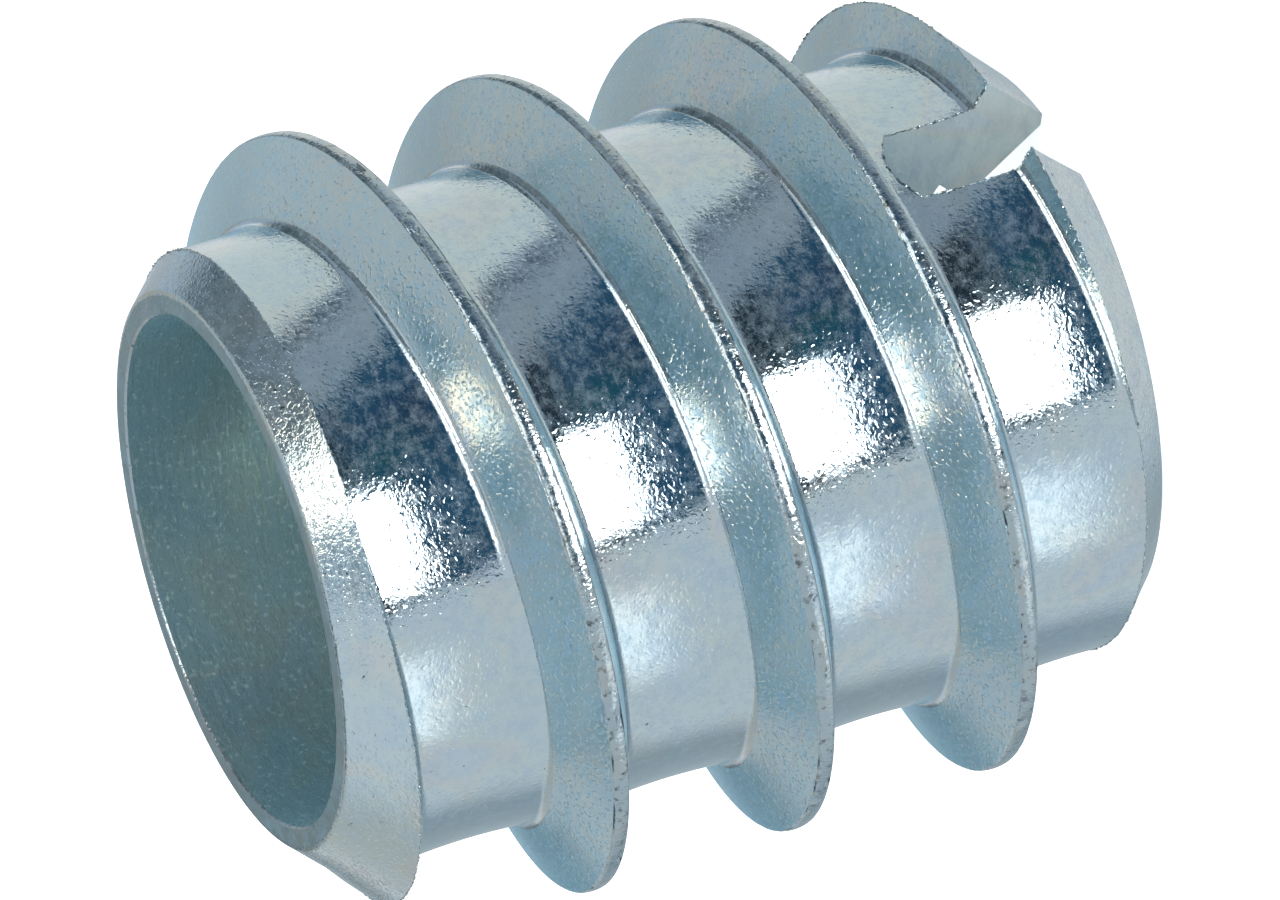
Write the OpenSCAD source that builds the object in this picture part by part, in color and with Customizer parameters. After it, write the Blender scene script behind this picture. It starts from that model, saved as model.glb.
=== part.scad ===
// Screw-in threaded insert: one turned piece with a coarse, thin-finned outer thread,
// a tapped hole behind a driver slot at one end, and a smooth counterbore at the lead end.
// It stands on the slotted end, with the slot along X and the lead end at the top.

/* [Body] */
// Length from the slotted end to the lead end
body_length = 12; // [10:0.1:20]
// Wall of the core around the smooth lead bore
core_wall = 0.8; // [0.7:0.05:1.2]

/* [Outer thread] */
// How far the crest stands above the core
thread_depth = 1.15; // [0.8:0.05:1.6]
// Rise of the outer thread in one turn
thread_pitch = 3; // [2.5:0.1:4]
// Width of the flat land left on the crest
crest_land = 0.2; // [0.12:0.02:0.4]
// Angle between the two flanks
flank_angle = 46; // [35:1:65]
// Fillet where a flank meets the core
root_fillet = 0.2; // [0.15:0.05:0.4]
// Height of the crest above the slotted end, over the slot's +X mouth
crest_start = 0.5; // [0:0.1:2.4]

/* [Screw hole] */
// Nominal diameter of the screw that it takes
screw_d = 6; // [5:0.5:8]
// Rise of the screw thread in one turn
screw_pitch = 1; // [0.8:0.05:1.25]
// How much wider the lead bore is than the screw
lead_bore_clearance = 1.1; // [0.4:0.1:1.4]
// Depth of the smooth lead bore
lead_bore_depth = 4; // [2:0.1:6]
// Half angle of the step from the lead bore to the tapped hole
step_angle = 59; // [45:1:60]

/* [Slotted end] */
// Width of the driver slot
slot_width = 1.2; // [0.8:0.05:1.6]
// Depth of the driver slot
slot_depth = 2.4; // [1.5:0.1:4]
// Radial width of the bevel that the core gets at this end
slot_end_bevel = 0.47; // [0.3:0.01:0.5]
// Angle of that bevel from the axis
slot_end_bevel_angle = 41; // [30:1:50]
// Width of the rim left between the bevel and the countersink
slot_end_rim = 0.2; // [0.1:0.05:0.4]
// Half angle of the countersink
countersink_angle = 45; // [40:1:60]

/* [Lead end] */
// Radial width of the bevel that the core gets at this end
lead_bevel = 0.48; // [0.3:0.01:0.5]
// Angle of that bevel from the axis
lead_bevel_angle = 44; // [30:1:50]
// Small bevel at the mouth of the lead bore
mouth_bevel = 0.08; // [0.04:0.02:0.12]

/* [Edges] */
// Radius that is left on the outer edge of each end's rim
edge_radius = 0.12; // [0.05:0.01:0.15]

/* [Hidden] */

$fn = 96;
// Cuts run this far past the surface that they open
over = 1;

lead_bore_r = (screw_d + lead_bore_clearance) / 2;
core_r = lead_bore_r + core_wall;
crest_r = core_r + thread_depth;
tapped_r = (screw_d - screw_pitch) / 2;

// Both ends: the bevels run on past the core, so they also trim the thread
lead_rim_r = core_r - lead_bevel;
lead_trim = (crest_r - lead_rim_r) / tan(lead_bevel_angle);
slot_rim_r = core_r - slot_end_bevel;
slot_end_trim = (crest_r - slot_rim_r) / tan(slot_end_bevel_angle);
countersink_r = slot_rim_r - slot_end_rim;
countersink_depth = (countersink_r - tapped_r) / tan(countersink_angle);
step_depth = (lead_bore_r - tapped_r) / tan(step_angle);

// Ridge of the outer thread. Its foot sits inside the core and its tip runs past the
// crest, so that true cylinders shape the core and the crest.
foot_seat = 0.02;
foot_depth = 0.3;
flank = flank_angle / 2;
tip_over = 0.3 * crest_land / tan(flank);
fillet_sweep = 90 - flank;
fillet_parts = 2;
fillet_r_centre = core_r - foot_seat + root_fillet;
fillet_z_centre = crest_land / 2 + (thread_depth + foot_seat) * tan(flank)
                + root_fillet * tan(fillet_sweep / 2);

// Upper half of the ridge's section as [radius, height], from the tip to the foot
half_ridge = [
    [crest_r + tip_over, crest_land / 2 - tip_over * tan(flank)],
    for (i = [fillet_parts:-1:0])
        let (a = fillet_sweep * i / fillet_parts)
        [fillet_r_centre - root_fillet * cos(a), fillet_z_centre - root_fillet * sin(a)],
    [core_r - foot_depth, fillet_z_centre]
];
last = len(half_ridge) - 1;
ridge = [
    each half_ridge,
    for (i = [last:-1:0]) [half_ridge[i][0], -half_ridge[i][1]]
];

// The helix starts a full ridge below one end and stops a full ridge above the other
steps_per_turn = 60;
helix_margin = fillet_z_centre + 0.1;
first_step = floor((-helix_margin - crest_start) / thread_pitch * steps_per_turn);
last_step = ceil((body_length + helix_margin - crest_start) / thread_pitch * steps_per_turn);

function on_helix(p, step) =
    let (a = 360 * step / steps_per_turn)
    [p[0] * cos(a), p[0] * sin(a), p[1] + crest_start + thread_pitch * step / steps_per_turn];

function strip(a, b, c, d, shift) = [[a, c, b] + shift * [1, 1, 1], [a, d, c] + shift * [1, 1, 1]];

module thread_ridge() {
    n = len(ridge);
    rings = last_step - first_step + 1;
    points = [for (step = [first_step:last_step], p = ridge) on_helix(p, step)];
    sides = [
        for (k = [0:rings - 2], i = [0:n - 1])
            let (a = k * n + i, b = k * n + (i + 1) % n)
            each [[a, b, a + n], [b, b + n, a + n]]
    ];
    // Each end is closed by strips that join a point to its mirror in the section
    start_cap = [for (i = [0:last - 1]) each strip(i, i + 1, n - 2 - i, n - 1 - i, 0)];
    end_cap = [for (i = [0:last - 1]) each strip(n - 1 - i, n - 2 - i, i + 1, i, (rings - 1) * n)];
    polyhedron(points, concat(start_cap, sides, end_cap), convexity = 10);
}

// Rounded edge between a flat end and a bevel that stands at bevel_angle from the axis,
// as [radius, height above that end], from the flat to the bevel
edge_parts = 3;
function rim_edge(rim_r, bevel_angle) =
    let (turn = 90 - bevel_angle, centre_r = rim_r - edge_radius * tan(turn / 2))
    [for (i = [0:edge_parts])
        let (a = turn * i / edge_parts)
        [centre_r + edge_radius * sin(a), edge_radius * (1 - cos(a))]];
slot_edge = rim_edge(slot_rim_r, slot_end_bevel_angle);
lead_edge = rim_edge(lead_rim_r, lead_bevel_angle);

// Everything outside this turned outline is cut away, thread and core alike
module turned_blank() {
    rotate_extrude()
        polygon([
            [0, 0],
            each slot_edge,
            [crest_r, slot_end_trim],
            [crest_r, body_length - lead_trim],
            for (i = [edge_parts:-1:0]) [lead_edge[i][0], body_length - lead_edge[i][1]],
            [0, body_length]
        ]);
}

module screw_hole() {
    step_z = body_length - lead_bore_depth;
    // Tapped hole at the size left by its thread crests
    translate([0, 0, -over])
        cylinder(r = tapped_r, h = body_length);
    // Smooth lead bore, its drilled step and the bevel at its mouth
    translate([0, 0, step_z])
        cylinder(r = lead_bore_r, h = lead_bore_depth + over);
    translate([0, 0, step_z - step_depth])
        cylinder(r1 = tapped_r, r2 = lead_bore_r, h = step_depth);
    translate([0, 0, body_length - mouth_bevel])
        cylinder(r1 = lead_bore_r, r2 = lead_bore_r + 2 * mouth_bevel, h = 2 * mouth_bevel);
    // Countersink at the slotted end
    translate([0, 0, -countersink_depth])
        cylinder(r1 = 2 * countersink_r - tapped_r, r2 = tapped_r, h = 2 * countersink_depth);
}

module driver_slot() {
    translate([-crest_r - over, -slot_width / 2, -over])
        cube([2 * (crest_r + over), slot_width, slot_depth + over]);
}

module insert() {
    color("lightsteelblue")
    difference() {
        intersection() {
            union() {
                cylinder(r = core_r, h = body_length);
                thread_ridge();
            }
            turned_blank();
        }
        screw_hole();
        driver_slot();
    }
}

insert();
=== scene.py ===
import math

import bmesh
import bpy
import numpy as np
from mathutils import Matrix, Vector


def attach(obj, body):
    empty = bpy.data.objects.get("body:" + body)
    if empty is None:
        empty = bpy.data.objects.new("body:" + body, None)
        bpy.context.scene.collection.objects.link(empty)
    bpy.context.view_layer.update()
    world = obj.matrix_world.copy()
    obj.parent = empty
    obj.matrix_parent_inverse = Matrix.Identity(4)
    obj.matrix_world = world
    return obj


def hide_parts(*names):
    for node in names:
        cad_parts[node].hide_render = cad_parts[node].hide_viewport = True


# A screw-in insert of zinc-plated steel. It stands on its slotted end, so the camera lies on its
# side. Lengths in the dictionaries are millimetres, angles are degrees.
mm = 0.001

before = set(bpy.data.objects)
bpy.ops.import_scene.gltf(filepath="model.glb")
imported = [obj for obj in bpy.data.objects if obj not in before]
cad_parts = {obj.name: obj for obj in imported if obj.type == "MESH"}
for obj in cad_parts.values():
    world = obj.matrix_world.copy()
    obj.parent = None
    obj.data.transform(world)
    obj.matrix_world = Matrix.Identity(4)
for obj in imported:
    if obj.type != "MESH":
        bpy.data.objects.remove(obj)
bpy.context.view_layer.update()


def linearColour(code):
    channels = [int(code[i:i + 2], 16) / 255 for i in (1, 3, 5)]
    return [c / 12.92 if c <= 0.04045 else ((c + 0.055) / 1.055) ** 2.4 for c in channels] + [1.0]


def addNode(tree, kind, inputs=None, **settings):
    node = tree.nodes.new("ShaderNode" + kind)
    for name, value in settings.items():
        setattr(node, name, value)
    for socket, value in (inputs or {}).items():
        if isinstance(value, bpy.types.NodeSocket):
            tree.links.new(value, node.inputs[socket])
        else:
            node.inputs[socket].default_value = value
    return node


def fromAngles(azimuth, elevation):
    a, e = math.radians(azimuth), math.radians(elevation)
    return Vector((math.cos(a) * math.cos(e), math.sin(a) * math.cos(e), math.sin(e)))


cameraPlace = {
    "position": (111.72, -88.02, 55.23),
    "right": (0.07343, -0.41469, -0.90700),
    "up": (0.66626, 0.69714, -0.26481),
    "lens": 312.9,
    "sensorWidth": 36.0,
    "nearest": 1.0,
    "farthest": 4000.0,
}
cameraData = bpy.data.cameras.new("camera")
cameraData.lens = cameraPlace["lens"]
cameraData.sensor_width = cameraPlace["sensorWidth"]
cameraData.clip_start = cameraPlace["nearest"] * mm
cameraData.clip_end = cameraPlace["farthest"] * mm
camera = bpy.data.objects.new("camera", cameraData)
bpy.context.scene.collection.objects.link(camera)
right, up = Vector(cameraPlace["right"]).normalized(), Vector(cameraPlace["up"])
up = (up - right * up.dot(right)).normalized()
camera.matrix_world = Matrix.Translation(Vector(cameraPlace["position"]) * mm) @ Matrix(
    (right, up, right.cross(up))).transposed().to_4x4()
bpy.context.scene.camera = camera
print("camera placed")


# Every surface is turned steel with bright zinc electroplate and a clear blue passivation.
# peel: the plate's orange peel, (size, height)
# pits: its sparse sharp grains, (size, height)
# patch: size of its duller patches
# grain: how many times longer the peel and the patches are round the axis than along it
# film: how far the passivation drifts to cream, rose and blue
# haze, milk, tint: the roughness that a dull patch gains, the metal that it loses, and how blue it is
# bloom: how strong the passivation's milky blue is, which shows most at grazing angles
# specks: small marks, (size, amount, softness, colour)
finishes = {
    # the tool's crowned nose leaves almost a mirror under a fine peel, dark where it faces the flags
    "core": {"name": "mirror_turned_zinc", "colour": "#a7b8bf", "metallic": 1.0, "roughness": 0.06,
             "peel": (0.085, 0.0023), "pits": (0.06, 0.0018), "patch": 0.2, "grain": 1.2, "film": 0.22,
             "haze": 0.1, "milk": 0.38, "tint": 0.18, "bloom": 0.05,
             "specks": (0.18, 0.27, 0.06, "#3d3a36")},
    # a form tool cut it, so that it is satin, and its film is thicker and bluer
    "flank": {"name": "satin_cut_zinc", "colour": "#c2b6a4", "metallic": 1.0, "roughness": 0.1,
              "peel": (0.09, 0.0044), "pits": (0.06, 0.006), "patch": 0.16, "grain": 1.0, "film": 0.35,
              "haze": 0.1, "milk": 0.3, "tint": 0.45, "bloom": 0.5,
              "specks": (0.18, 0.27, 0.06, "#3d3a36")},
    # the same cut on the side that faces the slotted end, where the film is thinner
    "rear": {"name": "sheltered_cut_zinc", "colour": "#d4d2cb", "metallic": 1.0, "roughness": 0.14,
             "peel": (0.09, 0.0036), "pits": (0.07, 0.004), "patch": 0.25, "grain": 1.0, "film": 0.2,
             "haze": 0.1, "milk": 0.3, "tint": 0.2, "bloom": 0.4,
             "specks": (0.18, 0.27, 0.06, "#3d3a36")},
    # tumbling against other inserts burred and dented it, and dirt stays in the dents
    "crest": {"name": "burred_zinc", "colour": "#93a0a5", "metallic": 0.96, "roughness": 0.12,
              "peel": (0.08, 0.007), "pits": (0.06, 0.005), "patch": 0.3, "grain": 0.4, "film": 0.15,
              "haze": 0.2, "milk": 0.3, "tint": 0.15, "bloom": 0.08,
              "specks": (0.12, 0.44, 0.2, "#35322f")},
    # faced and bevelled with a pointed tool, which leaves a coarser peel
    "bevel": {"name": "faced_zinc", "colour": "#b0c0c6", "metallic": 1.0, "roughness": 0.05,
              "peel": (0.085, 0.0075), "pits": (0.05, 0.004), "patch": 0.4, "grain": 1.3, "film": 0.25,
              "haze": 0.07, "milk": 0.2, "tint": 0.2, "bloom": 0.06,
              "specks": (0.18, 0.3, 0.06, "#3d3a36")},
    # the end face, worn matt and greyer
    "ring": {"name": "matt_faced_zinc", "colour": "#7b8f94", "metallic": 0.9, "roughness": 0.34,
             "peel": (0.1, 0.005), "pits": (0.06, 0.005), "patch": 0.4, "grain": 1.0, "film": 0.2,
             "haze": 0.1, "milk": 0.3, "tint": 0.2, "bloom": 0.1,
             "specks": (0.15, 0.35, 0.1, "#4b4d4b")},
    # drilled and bored: rings of fine tool marks, dull and grey-green between them
    "bore": {"name": "drilled_zinc", "colour": "#c4d8d2", "metallic": 0.92, "roughness": 0.26,
             "peel": (0.8, 0.0012), "pits": (0.06, 0.003), "patch": 1.1, "grain": 18.0, "film": 0.4,
             "haze": 0.06, "milk": 0.08, "tint": 0.3, "bloom": 0.18,
             "specks": (0.09, 0.42, 0.1, "#e4f2f0")},
    # sawn with a slitting cutter, matt and hardly metallic. Its near white is painted light against the
    # slot's shade
    "slot": {"name": "sawn_zinc_painted_light", "colour": "#e8f6f6", "metallic": 0.2, "roughness": 0.35,
             "peel": (0.3, 0.002), "pits": (0.07, 0.002), "patch": 0.6, "grain": 2.0, "film": 0.4,
             "haze": 0.1, "milk": 0.1, "tint": 0.15, "bloom": 0.12,
             "specks": (0.18, 0.3, 0.06, "#7e8a84")},
}
finishOrder = list(finishes)
# what all of the finishes share
plating = {
    "bloomColour": "#90dcff", "bloomRoughness": 1.0,
    "swell": (0.4, 0.004),        # a slow unevenness under the peel, (size, height)
    "gritLevels": (0.58, 0.86),   # the noise level at which a grain begins, and the one at which it is full
    "dullLevels": (0.44, 0.65),   # the same for a dull patch
    "milkColour": "#5d97c2",
    "driftSize": 1.25,            # the film's colours lie about this far apart
    "filmTints": [(0.30, "#93abc4"), (0.41, "#a2b7c4"), (0.50, "#a6b8c0"), (0.58, "#b4b8af"),
                  (0.66, "#b8aca8"), (0.75, "#a4b0c6")],
}


def zincMaterial(look):
    material = bpy.data.materials.new(look["name"])
    material.use_nodes = True
    tree = material.node_tree
    shader = tree.nodes["Principled BSDF"]
    shader.inputs["Sheen Weight"].default_value = look["bloom"]
    shader.inputs["Sheen Roughness"].default_value = plating["bloomRoughness"]
    shader.inputs["Sheen Tint"].default_value = linearColour(plating["bloomColour"])
    place = addNode(tree, "TexCoord").outputs["Object"]
    inMm = addNode(tree, "VectorMath", {0: place, "Scale": 1 / mm}, operation="SCALE").outputs[0]
    cut = addNode(tree, "VectorMath", {0: inMm, 1: (1, 1, look["grain"])}, operation="MULTIPLY").outputs[0]

    # relief: the peel, with a swell under it and the grains on it
    size, height = look["peel"]
    peel = addNode(tree, "TexNoise", {"Vector": cut, "Scale": 1 / size, "Detail": 2.0, "Roughness": 0.72,
                                      "Distortion": 0.8}).outputs[0]
    size, swellHeight = plating["swell"]
    swell = addNode(tree, "TexNoise", {"Vector": inMm, "Scale": 1 / size, "Detail": 0.0}).outputs[0]
    size, pitHeight = look["pits"]
    grit = addNode(tree, "TexNoise", {"Vector": inMm, "Scale": 1 / size, "Detail": 0.0}).outputs[0]
    low, high = plating["gritLevels"]
    pits = addNode(tree, "MapRange", {"Value": grit, "From Min": low, "From Max": high,
                                      "To Max": pitHeight * mm}).outputs[0]
    waves = addNode(tree, "Math", {0: swell, 1: swellHeight * mm, 2: pits},
                    operation="MULTIPLY_ADD").outputs[0]
    relief = addNode(tree, "Math", {0: peel, 1: height * mm, 2: waves}, operation="MULTIPLY_ADD").outputs[0]
    bump = addNode(tree, "Bump", {"Height": relief, "Strength": 1.0, "Distance": 1.0}).outputs[0]

    # the film's colours
    drift = addNode(tree, "TexNoise", {"Vector": inMm, "Scale": 1 / plating["driftSize"], "Detail": 1.0,
                                       "Distortion": 0.6}).outputs[0]
    ramp = addNode(tree, "ValToRGB", {"Fac": drift})
    stops = ramp.color_ramp.elements
    while len(stops) < len(plating["filmTints"]):
        stops.new(0.5)
    for stop, (position, tint) in zip(stops, plating["filmTints"]):
        stop.position, stop.color = position, linearColour(tint)
    filmed = addNode(tree, "Mix", {0: look["film"], 6: linearColour(look["colour"]), 7: ramp.outputs[0]},
                     data_type="RGBA").outputs[2]

    # the dull patches, rougher, less metallic and bluer than the rest
    mottle = addNode(tree, "TexNoise", {"Vector": cut, "Scale": 1 / look["patch"], "Detail": 4.0,
                                        "Roughness": 0.84}).outputs[0]
    low, high = plating["dullLevels"]
    dull = addNode(tree, "MapRange", {"Value": mottle, "From Min": low, "From Max": high}).outputs[0]
    metal = addNode(tree, "MapRange", {"Value": dull, "To Min": look["metallic"],
                                       "To Max": look["metallic"] - look["milk"]}).outputs[0]
    rough = addNode(tree, "MapRange", {"Value": dull, "To Min": look["roughness"],
                                       "To Max": look["roughness"] + look["haze"]}).outputs[0]
    blueness = addNode(tree, "Math", {0: dull, 1: look["tint"]}, operation="MULTIPLY").outputs[0]
    tinted = addNode(tree, "Mix", {0: blueness, 6: filmed, 7: linearColour(plating["milkColour"])},
                     data_type="RGBA").outputs[2]

    # small marks on top
    size, amount, softness, speckColour = look["specks"]
    marks = addNode(tree, "TexNoise", {"Vector": inMm, "Scale": 1 / size, "Detail": 2.0,
                                       "Roughness": 0.75}).outputs[0]
    marked = addNode(tree, "MapRange", {"Value": marks, "From Min": amount,
                                        "From Max": amount - softness}).outputs[0]
    colour = addNode(tree, "Mix", {0: marked, 6: tinted, 7: linearColour(speckColour)},
                     data_type="RGBA").outputs[2]
    tree.links.new(colour, shader.inputs["Base Color"])
    tree.links.new(rough, shader.inputs["Roughness"])
    tree.links.new(metal, shader.inputs["Metallic"])
    tree.links.new(bump, shader.inputs["Normal"])
    return material


for look in finishes.values():
    look["material"] = zincMaterial(look)
print("finishes made:", len(finishes))


insert = {
    "length": 12.0,
    "coreRadius": 4.365, "coreHollow": 0.035,   # the core is slightly hollow between two turns
    # the crest is bowed by the crown's angle, from its middle to the small round at each corner
    "crestRadius": 5.5, "crestLand": 0.2, "crestCrown": 14.0, "crestRound": 0.04,
    # crestStart is the height at which the crest first crosses +X. flankAngle is off square to the axis
    "pitch": 3.0, "crestStart": 0.46, "flankAngle": 23.0, "rootFillet": 0.16,
    "threadOverrun": 0.6, "bevelOverrun": 0.4,   # how far past the ends, and past the crest, they are drawn
    # the steps in a turn of the thread, in a turn of the rest, in the thread's rounds, in the rims of the
    # end faces and across the slot's floor
    "stepsPerTurn": 400, "latheSteps": 240, "roundSteps": 4, "rimSteps": 5, "slotFloorSteps": 12,
    "sharpAngle": 24.0,   # an edge that bends by more is shaded sharp
    "seed": 11,
    # small nicks all along both edges of the crest. Their width is in steps of the mesh, and share is how
    # deep the rear edge's are against the lead edge's
    "nicks": {"count": 70, "depth": (0.01, 0.045), "width": (0.8, 3.0), "share": 0.6, "ripple": 0.004},
    # the deepest dents in the crest, as (turn, depth, width)
    "dents": [(3.053, 0.06, 0.1), (3.008, 0.045, 0.08), (2.744, 0.04, 0.08), (1.792, 0.035, 0.2),
              (1.7, 0.05, 0.08), (2.36, 0.05, 0.12), (0.716, 0.04, 0.08), (1.44, 0.06, 0.1)],
    # each bevel as (radius at its end face, angle to the axis), and its bulge past that cone as
    # (radius, length)
    "slotEndBevel": (3.9, 41.0), "slotEndRound": 0.05,
    "slotEndBulge": [(4.15, 0.03), (4.45, 0.07), (5.0, 0.16), (5.5, 0.21)],
    "leadBevel": (3.87, 44.0), "leadRound": 0.12,
    "leadBulge": [(4.4, 0.0), (4.7, 0.06), (5.1, 0.1), (5.5, 0.12)],
    "leadBoreRadius": 3.55, "leadBoreDepth": 4.0, "stepAngle": 59.0, "countersinkRadius": 3.68,
    "mouthBevel": 0.03, "mouthBelly": 0.01,   # the bore's small bevel, and how much it widens half way up
    # the screw thread: start and turn place its groove, floor is half the width of the groove's floor, and
    # slopes are those of its upper and lower side. It is wound between heights and stops at the limit, which
    # is (radius, height)
    "tappedRadius": 2.5, "tappedPitch": 1.0, "tappedDepth": 0.55, "tappedStart": 1.437, "tappedTurn": 11.0,
    "tappedFloor": 0.015, "tappedSlopes": (0.577, 0.75), "tappedHeights": (-0.3, 7.2),
    "tappedLimit": (4.0, 7.8), "tappedSteps": 96,
    "slotWidth": 1.2, "slotDepth": 2.4, "slotCrown": 0.24,   # the worn cutter leaves a rounded floor
    "toolReach": 0.5, "slotReach": 8.0,   # how far the tools go past the metal, and the slot's from the axis
    # ragged burrs: thinnest is a share of the radius, margin keeps them inside the insert's box, and a line
    # of fewer than shortest steps has none
    "burrs": {"slotRadius": 0.024, "bevelRadius": 0.015, "step": 0.03, "wander": 0.006, "thinnest": 0.25,
              "margin": 0.05, "sides": 6, "shortest": 8},
    "sliver": 0.001,   # the cuts leave slivers, and what is thinner than this closes up
}


def makeMesh(name, points, faces, faceFinish):
    mesh = bpy.data.meshes.new(name)
    mesh.from_pydata([(x * mm, y * mm, z * mm) for x, y, z in points], [], faces)
    for key in finishOrder:
        mesh.materials.append(finishes[key]["material"])
    mesh.polygons.foreach_set("material_index", [finishOrder.index(f) for f in faceFinish])
    mesh.validate()
    made = bpy.data.objects.new(name, mesh)
    bpy.context.scene.collection.objects.link(made)
    return made


def helixSolid(name, outline, pitch, start, bottom, top, steps, worn=None):
    # outline: (height above the crest line, radius, finish of the strip that follows), over one pitch.
    # worn gives how much of the radius is gone at each point
    m = len(outline)
    first = math.floor((bottom - pitch - start) / pitch * steps)
    last = math.ceil((top - start) / pitch * steps)
    turns = np.arange(first, last + 1)
    rows = len(turns)
    angle = 2 * np.pi * turns / steps
    crest = start + pitch * turns / steps
    offset = np.array([p[0] for p in outline])
    radius = np.tile([p[1] for p in outline], (rows, 1)).astype(float)
    if worn is not None:
        radius -= worn(turns / steps, m)
    x = radius * np.cos(angle)[:, None]
    y = radius * np.sin(angle)[:, None]
    z = crest[:, None] + offset[None, :]
    points = np.stack([x, y, z], -1).reshape(-1, 3).tolist()
    # the last turn has none above it, so it ends on the line at which the next would start
    closing = {}
    for i in range(rows - steps, rows):
        closing[i] = len(points)
        points.append([radius[i, 0] * math.cos(angle[i]), radius[i, 0] * math.sin(angle[i]),
                       crest[i] + pitch])

    def corner(i, j):
        if j < m:
            return i * m + j
        return (i + steps) * m if i + steps < rows else closing[i]

    faces, faceFinish = [], []
    for i in range(rows - 1):
        for j in range(m):
            faces.append((corner(i, j), corner(i + 1, j), corner(i + 1, j + 1), corner(i, j + 1)))
            faceFinish.append(outline[j][2])
    # both ends close on a point of the axis, which the cuts take away
    low, high = len(points), len(points) + 1
    points += [[0, 0, crest[0] - 2 * pitch], [0, 0, crest[-1] + 3 * pitch]]
    for i in range(steps):
        faces.append((low, corner(i + 1, 0), corner(i, 0)))
    for j in range(m):
        faces.append((low, corner(0, j), corner(0, j + 1)))
    for i in range(rows - 1 - steps, rows - 1):
        faces.append((high, corner(i, m), corner(i + 1, m)))
    for j in range(m):
        faces.append((high, corner(rows - 1, j + 1), corner(rows - 1, j)))
    faceFinish += [outline[0][2]] * (len(faces) - len(faceFinish))
    return makeMesh(name, points, faces, faceFinish)


def latheSolid(name, outline, steps):
    # outline: (radius, height, finish of the strip that follows) from the lower axis point to the upper
    inner = outline[1:-1]
    m = len(inner)
    points = [[0, 0, outline[0][1]], [0, 0, outline[-1][1]]]
    for i in range(steps):
        a = 2 * math.pi * i / steps
        points += [[r * math.cos(a), r * math.sin(a), z] for r, z, finish in inner]
    faces, faceFinish = [], []
    for i in range(steps):
        here, there = 2 + i * m, 2 + (i + 1) % steps * m
        faces.append((0, there, here))
        faceFinish.append(outline[0][2])
        for j in range(m - 1):
            faces.append((here + j, there + j, there + j + 1, here + j + 1))
            faceFinish.append(inner[j][2])
        faces.append((1, here + m - 1, there + m - 1))
        faceFinish.append(inner[-1][2])
    return makeMesh(name, points, faces, faceFinish)


def cutWith(target, tool, operation):
    step = target.modifiers.new(tool.name, "BOOLEAN")
    step.operation = operation
    step.solver = "MANIFOLD"
    step.material_mode = "INDEX"
    step.object = tool
    graph = bpy.context.evaluated_depsgraph_get()
    result = bpy.data.meshes.new_from_object(target.evaluated_get(graph))
    target.modifiers.clear()
    old = target.data
    target.data = result
    bpy.data.meshes.remove(old)
    bpy.data.objects.remove(tool)


def threadOutline(size):
    t = math.tan(math.radians(size["flankAngle"]))
    half, crest, fillet = size["crestLand"] / 2, size["crestRadius"], size["rootFillet"]
    core = size["coreRadius"]
    sweep = math.radians(90 - size["flankAngle"])
    filletRadiusCentre = core + fillet
    filletHeight = half + (crest - core) * t + fillet * math.tan(sweep / 2)
    # the land is slightly crowned, and its corner is a small round that runs into the flank
    small, edge, steps = size["crestRound"], math.radians(size["crestCrown"]), size["roundSteps"]
    rounded = small * (math.sin(sweep) - math.sin(edge))
    across = half + t * small * (math.cos(edge) - math.cos(sweep)) - rounded
    big = across / (math.sin(edge) - t * (1 - math.cos(edge)))
    upper = [(0.0, crest, "crest"),
             (big * math.sin(edge / 2), crest - big * (1 - math.cos(edge / 2)), "crest")]
    for k in range(steps + 1):
        a = edge + (sweep - edge) * k / steps
        upper.append((big * math.sin(edge) + small * (math.sin(a) - math.sin(edge)),
                      crest - big * (1 - math.cos(edge)) - small * (math.cos(edge) - math.cos(a)), "crest"))
    roundRadius = upper[-1][1]
    upper[-1] = (upper[-1][0], roundRadius, "flank")
    endRadius = filletRadiusCentre - fillet * math.cos(sweep)
    for k in (0.12, 1, 2, 3):   # in quarters, and the first keeps the round's shading off the flank
        r = roundRadius + (endRadius - roundRadius) * k / 4
        upper.append((half + (crest - r) * t, r, "flank"))
    for k in range(steps + 1):
        a = sweep * (1 - k / steps)
        upper.append((filletHeight - fillet * math.sin(a),
                      filletRadiusCentre - fillet * math.cos(a), "core"))
    middle = size["pitch"] / 2
    hollow = []
    for k in (1, 2, 3):
        h = filletHeight + (middle - filletHeight) * k / 4
        share = (h - filletHeight) / (middle - filletHeight)
        hollow.append((h, core - size["coreHollow"] * (1 - (1 - share) ** 2), "core"))
    upper += hollow + [(middle, core - size["coreHollow"], "core")]
    # on the way back out a point takes the finish of the strip outward of it, and this flank is the rear one
    lower = [(size["pitch"] - h, r, "rear" if outer[2] == "flank" else outer[2])
             for outer, (h, r, own) in zip(upper, upper[1:-1])]
    return upper + lower[::-1]


random = np.random.default_rng(insert["seed"])


def crestNicks(turn, m):
    nicks = insert["nicks"]
    rows = len(turn)
    depth = np.zeros((rows, m))
    for columns, size in (((2, 3, 4, 5), 1.0), ((m - 2, m - 3, m - 4, m - 5), nicks["share"])):
        line = np.abs(random.normal(0, nicks["ripple"], rows))
        for nick in range(nicks["count"]):
            where, wide = random.integers(0, rows), random.uniform(*nicks["width"])
            deep = random.uniform(*nicks["depth"]) * size
            line += deep * np.exp(-((np.arange(rows) - where) / wide) ** 2)
        for share, j in zip((0.3, 0.7, 1.0, 0.8), columns):   # deepest on the corner
            depth[:, j] += line * share
    for place, deep, wide in insert["dents"]:
        across = (turn - place) * 2 * math.pi * insert["crestRadius"] / wide
        for j in (*range(6), *range(m - 5, m)):   # the whole crest
            depth[:, j] += deep * np.exp(-across ** 2)
    return depth


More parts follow.
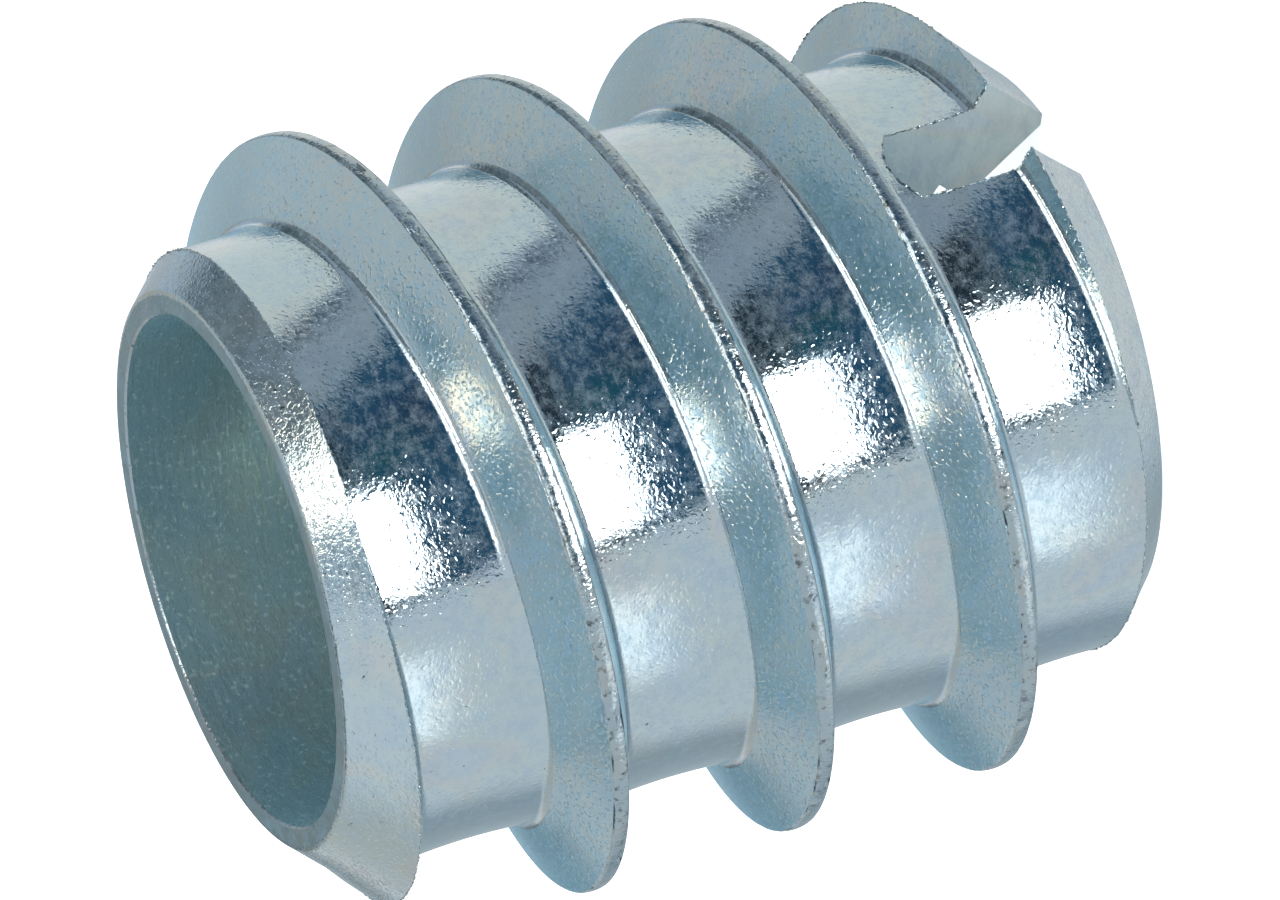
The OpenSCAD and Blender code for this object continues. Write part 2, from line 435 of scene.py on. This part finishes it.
length, reach, overrun = insert["length"], insert["toolReach"], insert["threadOverrun"]
body = helixSolid("insert_body", threadOutline(insert), insert["pitch"], insert["crestStart"],
                  -overrun, length + overrun, insert["stepsPerTurn"], crestNicks)
print("thread made")


def rimPoints(bevel, rimRound):
    # the small round between an end face and its bevel, as (radius, distance from the face)
    turn, steps = math.radians(90 - bevel[1]), insert["rimSteps"]
    centre = bevel[0] - rimRound * math.tan(turn / 2)
    return [(centre + rimRound * math.sin(turn * k / steps), rimRound * (1 - math.cos(turn * k / steps)))
            for k in range(steps + 1)]


def bulgePoints(bevel, bulge):
    # the bevel itself, in the same way
    slope = math.tan(math.radians(bevel[1]))
    points = [(r, (r - bevel[0]) / slope - b) for r, b in bulge]
    (r, h), out = points[-1], insert["crestRadius"] + insert["bevelOverrun"]
    return points + [(out, h + (out - r) / slope)]


# both ends are faced and bevelled
leadRim = rimPoints(insert["leadBevel"], insert["leadRound"])
slotCone = (rimPoints(insert["slotEndBevel"], insert["slotEndRound"])
            + bulgePoints(insert["slotEndBevel"], insert["slotEndBulge"]))
leadCone = leadRim + bulgePoints(insert["leadBevel"], insert["leadBulge"])
blank = latheSolid("blank", [(0, 0, "bevel")] + [(r, h, "bevel") for r, h in slotCone]
                   + [(r, length - h, "bevel") for r, h in leadCone[:0:-1]]
                   + [(leadRim[0][0], length, "ring"), (0, length, "ring")], insert["latheSteps"])
cutWith(body, blank, "INTERSECT")

# the lead bore, the drill's step, the hole for the screw and the countersink
bored, tapped, mouth = insert["leadBoreRadius"], insert["tappedRadius"], insert["mouthBevel"]
stepHeight = (bored - tapped) / math.tan(math.radians(insert["stepAngle"]))
boreFloor = length - insert["leadBoreDepth"]
hole = latheSolid("hole", [
    (0, -reach, "bore"),
    (insert["countersinkRadius"] + reach, -reach, "bore"),
    (tapped, insert["countersinkRadius"] - tapped, "bore"),
    (tapped, boreFloor - stepHeight, "bore"),
    (bored, boreFloor, "bore"),
    (bored, length - mouth, "crest"),
    (bored + insert["mouthBelly"], length - mouth / 2, "crest"),
    (bored + mouth, length, "ring"),
    (bored + mouth + reach, length + reach, "bore"),
    (0, length + reach, "bore")], insert["latheSteps"])
cutWith(body, hole, "DIFFERENCE")

# the screw thread, one groove wound up the hole
inside, aside = 0.1, 0.02   # how far the tap's core lies inside the hole's wall, and beside the groove
deep, floorHalf, screwPitch = insert["tappedDepth"], insert["tappedFloor"], insert["tappedPitch"]
upperSide, lowerSide = [floorHalf + deep * slope for slope in insert["tappedSlopes"]]
tapOutline = [(0.0, tapped + deep), (floorHalf, tapped + deep), (upperSide, tapped),
              (upperSide + aside, tapped - inside), (screwPitch - lowerSide - aside, tapped - inside),
              (screwPitch - lowerSide, tapped), (screwPitch - floorHalf, tapped + deep)]
tap = helixSolid("tap", [(h, r, "bore") for h, r in tapOutline], screwPitch,
                 insert["tappedStart"] - insert["tappedTurn"] / 360 * screwPitch,
                 *insert["tappedHeights"], insert["tappedSteps"])
wide, end = insert["tappedLimit"]
tapLimit = latheSolid("tapLimit", [(0, -2 * reach, "bore"), (wide, -2 * reach, "bore"), (wide, end, "bore"),
                                   (0, end, "bore")], insert["tappedSteps"])
cutWith(tap, tapLimit, "INTERSECT")
cutWith(body, tap, "DIFFERENCE")

# the driver slot
w, across, steps = insert["slotWidth"] / 2, insert["slotReach"], insert["slotFloorSteps"]
sides = [1 - 2 * k / steps for k in range(steps + 1)]   # from one wall, 1, to the other, -1
crown = [(w * side, insert["slotDepth"] + insert["slotCrown"] * (1 - side ** 2)) for side in sides]
section = [(w, -2 * reach)] + crown + [(-w, -2 * reach)]
n = len(section)
slotTool = makeMesh("slotTool", [(x, y, z) for x in (-across, across) for y, z in section],
                    [(k, (k + 1) % n, (k + 1) % n + n, k + n) for k in range(n)]
                    + [tuple(range(n))[::-1], tuple(range(n, 2 * n))], ["slot"] * (n + 2))
cutWith(body, slotTool, "DIFFERENCE")
print("ends, holes and slot cut")


def borderLines(mesh, kind, others):
    # the lines where one finish meets some others, each a row of points in order
    inner, outer = finishOrder.index(kind), [finishOrder.index(other) for other in others]
    beside = {}
    for polygon in mesh.polygons:
        for edge in polygon.edge_keys:
            beside.setdefault(edge, []).append(polygon.material_index)
    nextTo = {}
    for (a, b), kinds in beside.items():
        if inner in kinds and any(k in outer for k in kinds):
            nextTo.setdefault(a, []).append(b)
            nextTo.setdefault(b, []).append(a)
    lines = []
    while nextTo:
        line = [next((v for v in nextTo if len(nextTo[v]) == 1), next(iter(nextTo)))]
        while nextTo[line[-1]]:
            here = line[-1]
            there = nextTo[here].pop()
            nextTo[there].remove(here)
            line.append(there)
        nextTo = {v: left for v, left in nextTo.items() if left}
        lines.append(np.array([mesh.vertices[v].co for v in line]) / mm)
    return lines


def addBurr(line, radius, points, faces):
    # a tube of uneven thickness that sinks into the edge it follows
    burrs = insert["burrs"]
    sides = burrs["sides"]
    along = np.concatenate([[0], np.cumsum(np.linalg.norm(np.diff(line, axis=0), axis=1))])
    count = int(along[-1] / burrs["step"])
    if count < burrs["shortest"]:
        return
    places = np.linspace(0, along[-1], count)
    path = np.stack([np.interp(places, along, line[:, k]) for k in range(3)], 1)
    path += random.normal(0, burrs["wander"], path.shape)
    path[:, 2] = np.maximum(path[:, 2], burrs["margin"])
    widest = insert["crestRadius"] - burrs["margin"]
    path[:, :2] *= np.minimum(1, widest / np.hypot(path[:, 0], path[:, 1]))[:, None]
    thick = radius * (burrs["thinnest"] + (1 - burrs["thinnest"]) * random.random(count) ** 2)
    ahead = np.gradient(path, axis=0)
    ahead /= np.linalg.norm(ahead, axis=1)[:, None]
    outward = np.cross(ahead, (0.3, 0.2, 0.9))   # no edge runs along this direction
    outward /= np.linalg.norm(outward, axis=1)[:, None]
    sideways = np.cross(ahead, outward)
    first = len(points)
    for i in range(count):
        for k in range(sides):
            a = 2 * math.pi * k / sides
            around = math.cos(a) * outward[i] + math.sin(a) * sideways[i]
            points.append((path[i] + thick[i] * around).tolist())
    for i in range(count - 1):
        here, beyond = first + i * sides, first + (i + 1) * sides
        for k in range(sides):
            after = (k + 1) % sides
            faces.append((here + k, here + after, beyond + after, beyond + k))
    last = first + (count - 1) * sides
    faces.append(tuple(range(first, first + sides))[::-1])
    faces.append(tuple(range(last, last + sides)))


# the slitting cutter threw up a thin ragged burr round the slot's mouth, and the bevel's tool a smaller
# one where it met the thread
burrPoints, burrFaces = [], []
outside = ["core", "flank", "rear", "crest"]
for cutFinish in ("slot", "bevel"):
    for line in borderLines(body.data, cutFinish, outside):
        addBurr(line, insert["burrs"][cutFinish + "Radius"], burrPoints, burrFaces)
burr = makeMesh("burr", burrPoints, burrFaces, ["crest"] * len(burrFaces))

joined = bmesh.new()
joined.from_mesh(body.data)
bmesh.ops.dissolve_degenerate(joined, dist=insert["sliver"] * mm, edges=joined.edges)
bmesh.ops.triangulate(joined, faces=joined.faces)
# two triangles on the same three points are a flap with nothing in it
onPoints = {}
for face in joined.faces:
    onPoints.setdefault(frozenset(face.verts), []).append(face)
flaps = [face for faces in onPoints.values() if len(faces) > 1 for face in faces]
bmesh.ops.delete(joined, geom=flaps, context="FACES")
joined.from_mesh(burr.data)
joined.to_mesh(body.data)
joined.free()
bpy.data.objects.remove(burr)
print("burrs made")

body.data.shade_smooth()
body.data.set_sharp_from_angle(angle=math.radians(insert["sharpAngle"]))
print("insert made, triangles:", sum(len(p.vertices) - 2 for p in body.data.polygons))

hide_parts("insert")
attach(body, "root")


# glow is what the floor adds to its own light where the camera sees it, so that it is white there
floor = {"size": 4000.0, "drop": 0.02, "colour": "#f2f2f2", "roughness": 0.9, "glow": 0.76}
floorMesh = bpy.data.meshes.new("floor")
half, drop = floor["size"] / 2 * mm, floor["drop"] * mm
floorCorners = [(x * half, y * half, -drop) for x, y in ((-1, -1), (1, -1), (1, 1), (-1, 1))]
floorMesh.from_pydata(floorCorners, [], [(0, 1, 2, 3)])
floorSheet = bpy.data.objects.new("floor", floorMesh)
bpy.context.scene.collection.objects.link(floorSheet)
floorPaint = bpy.data.materials.new("matt_white_floor")
floorPaint.use_nodes = True
tree = floorPaint.node_tree
shader = tree.nodes["Principled BSDF"]
shader.inputs["Base Color"].default_value = linearColour(floor["colour"])
shader.inputs["Roughness"].default_value = floor["roughness"]
shader.inputs["Specular IOR Level"].default_value = 0.0
shader.inputs["Emission Color"].default_value = (1, 1, 1, 1)
paths = addNode(tree, "LightPath")
seen = addNode(tree, "Math", {0: paths.outputs["Is Camera Ray"], 1: floor["glow"]}, operation="MULTIPLY")
tree.links.new(seen.outputs[0], shader.inputs["Emission Strength"])
floorMesh.materials.append(floorPaint)
floorSheet.visible_glossy = False   # the metal sees the white world in its place

world = bpy.data.worlds.new("world")
bpy.context.scene.world = world
world.use_nodes = True
world.node_tree.nodes["Background"].inputs["Color"].default_value = (1, 1, 1, 1)

# What the metal sees: windows are softboxes, cards are pale boards, and flags and the smear are grey or
# tinted ones that darken it. Each has four corners as (azimuth, elevation), a colour, its strength, and the
# share of its width that fades out at each edge. An earlier one stands in front of a later one.
cards = {
    "keyWindow": ([(-63, -48), (-25, -48), (-25, -19), (-63, -19)], "#fff6ee", 20.0, 0.06),
    "smear": ([(22, -32), (31, -32), (60, -6), (48, -6)], "#727b88", 1.0, 0.25),
    "tealFlag": ([(-34, -28), (-10, -26), (4, -8), (-18, -8)], "#1d5f6c", 1.0, 0.5),
    "blueFlag": ([(-28, -25), (4, -22), (30, 4), (-16, 4)], "#2e4868", 1.0, 0.4),
    "deepFlag": ([(-75, -60), (-22, -60), (12, -23), (-68, -23)], "#2e3540", 1.0, 0.02),
    "keyFlag": ([(-68, -23), (12, -23), (44, 8), (-60, 8)], "#2f5b79", 1.0, 0.02),
    "edgeWindow": ([(-66, 12), (20, 12), (20, 42), (-66, 42)], "#fffaf4", 3.5, 0.06),
    "topWindow": ([(-27, 54), (18, 54), (18, 76), (-27, 76)], "#fff0da", 7.0, 0.1),
    "greyFlag": ([(-40, -60), (6, -60), (86, 20), (20, 20)], "#b3bac4", 1.0, 0.02),
    "duskFlag": ([(28, -11), (112, -11), (104, 24), (40, 34)], "#5f676c", 1.0, 0.1),
    "warmCard": ([(0, -60), (118, -60), (118, 2), (50, 2)], "#fbf9f2", 1.12, 0.08),
    "lowCard": ([(-130, -52), (-80, -52), (-80, -16), (-130, -16)], "#fcfbfa", 2.05, 0.3),
    "topFlag": ([(104, 6), (112, 40), (0, 88), (12, 46)], "#868a8e", 1.0, 0.06),
    "ringFlag": ([(130, 10), (154, 7), (154, 33), (130, 33)], "#7b888c", 1.0, 0.3),
    "amberFlag": ([(124, -8), (138, -8), (134, 26), (114, 26)], "#c0b9ac", 1.0, 0.2),
    "lilacFlag": ([(140, -18), (142, 2), (104, 32), (96, 12)], "#c4d0dc", 1.0, 0.15),
    "sideFlag": ([(-84, 56), (-30, 56), (-30, 78), (-84, 78)], "#a9b8c2", 1.0, 0.15),
    "backFlag": ([(144, 30), (182, 24), (186, 80), (138, 80)], "#5f7078", 1.0, 0.35),
    "lowBackFlag": ([(138, -12), (162, -12), (162, 22), (138, 22)], "#6e7678", 1.0, 0.25),
    "skyCard": ([(88, 10), (200, -2), (200, 84), (88, 84)], "#dcd8d0", 1.0, 0.1),
    "backCard": ([(116, -64), (208, -64), (208, 6), (116, 6)], "#b2bec4", 1.0, 0.22),
}
cardDistance, cardSpacing = 300.0, 0.05   # the nearest one's distance, and the share of it between two


def addCard(name, corners, colour, strength, fade, farther):
    # a sheet bent round the insert, so that its edges stay straight in azimuth and elevation
    cells = 16
    centre = Vector((0, 0, insert["length"] / 2 * mm))
    points, places = [], []
    for i in range(cells + 1):
        for j in range(cells + 1):
            u, v = i / cells, j / cells
            places.append((u, v))
            weights = ((1 - u) * (1 - v), u * (1 - v), u * v, (1 - u) * v)
            azimuth = sum(w * c[0] for w, c in zip(weights, corners))
            elevation = sum(w * c[1] for w, c in zip(weights, corners))
            points.append(centre + fromAngles(azimuth, elevation) * cardDistance * mm * farther)
    row = cells + 1
    starts = [i * row + j for i in range(cells) for j in range(cells)]
    faces = [(k, k + row, k + row + 1, k + 1) for k in starts]
    mesh = bpy.data.meshes.new(name)
    mesh.from_pydata(points, [], faces)
    layer = mesh.uv_layers.new()
    for corner in mesh.loops:
        layer.data[corner.index].uv = places[corner.vertex_index]
    card = bpy.data.objects.new(name, mesh)
    bpy.context.scene.collection.objects.link(card)
    material = bpy.data.materials.new(name)
    material.use_nodes = True
    tree = material.node_tree
    tree.nodes.clear()
    place = addNode(tree, "TexCoord").outputs["UV"]
    offset = addNode(tree, "VectorMath", {0: place, 1: (0.5, 0.5, 0)}, operation="SUBTRACT").outputs[0]
    away = addNode(tree, "VectorMath", {0: offset}, operation="ABSOLUTE").outputs[0]
    sides = addNode(tree, "SeparateXYZ", {0: away}).outputs
    across, along = [addNode(tree, "MapRange", {"Value": sides[k], "From Min": 0.5, "From Max": 0.5 - fade},
                             interpolation_type="SMOOTHSTEP").outputs[0] for k in (0, 1)]
    shown = addNode(tree, "Math", {0: across, 1: along}, operation="MULTIPLY").outputs[0]
    glow = addNode(tree, "Emission", {"Color": linearColour(colour), "Strength": strength})
    clear = addNode(tree, "BsdfTransparent")
    mixed = addNode(tree, "MixShader", {0: shown, 1: clear.outputs[0], 2: glow.outputs[0]})
    addNode(tree, "OutputMaterial", {"Surface": mixed.outputs[0]})
    mesh.materials.append(material)
    card.visible_camera = card.visible_diffuse = card.visible_shadow = card.visible_transmission = False


for order, (name, card) in enumerate(cards.items()):
    addCard(name, *card, farther=1 + cardSpacing * order)

bpy.context.scene.view_settings.view_transform = "Standard"
print("studio made")
